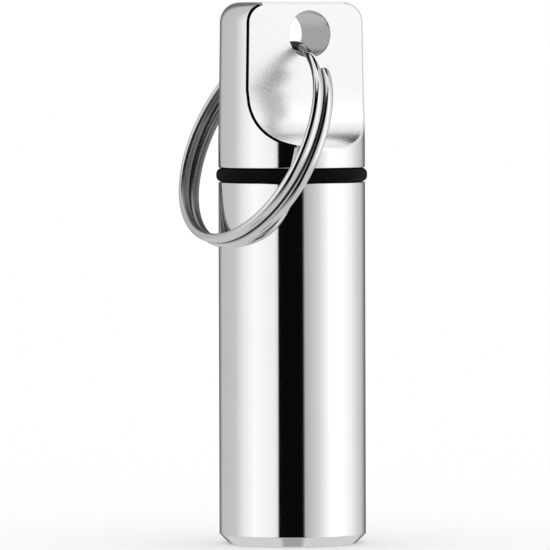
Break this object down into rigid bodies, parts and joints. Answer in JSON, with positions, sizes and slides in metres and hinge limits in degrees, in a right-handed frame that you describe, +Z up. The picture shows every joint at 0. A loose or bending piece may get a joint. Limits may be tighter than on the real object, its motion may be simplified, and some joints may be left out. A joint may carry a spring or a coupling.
{
  "type": "pill holder keychain",
  "caption": "Small round metal container with a sealed screw cap, whose flat tab carries a split key ring.",
  "frame": {"origin": "centre of the tube's flat foot", "axes": "+Z up along the tube, -Y out of the front flat of the tab, and X across the tab, with the key ring leaning to -X"},
  "size_m": [0.0195, 0.0248, 0.0609],
  "materials": {
    "tube_steel": "polished stainless steel",
    "cap_steel": "polished stainless steel, slightly satin on the milled flats",
    "seal_rubber": "smooth black rubber",
    "ring_steel": "bright nickel-plated spring steel"
  },
  "bodies": {
    "tube": {"tube": "tube_steel"},
    "seal": {"seal": "seal_rubber"},
    "cap": {"cap": "cap_steel"},
    "key_ring": {"key_ring": "ring_steel"}
  },
  "joints": [
    {"name": "cap_rise", "type": "slide", "parent": "tube", "child": "seal", "axis": [0, 0, 1], "range_m": [0, 0.009]},
    {"name": "cap_turn", "type": "hinge", "parent": "seal", "child": "cap", "pos_m": [0, 0, 0.0407], "axis": [0, 0, 1], "range_deg": [0, 2160]},
    {"name": "ring_swing", "type": "hinge", "parent": "cap", "child": "key_ring", "pos_m": [0.0005, 0, 0.0573], "axis": [0, 1, 0], "range_deg": [0, 313]}
  ],
  "couplings": [
    {"joint": "cap_turn", "follows": "cap_rise", "rad_per_m": 4188.8}
  ]
}
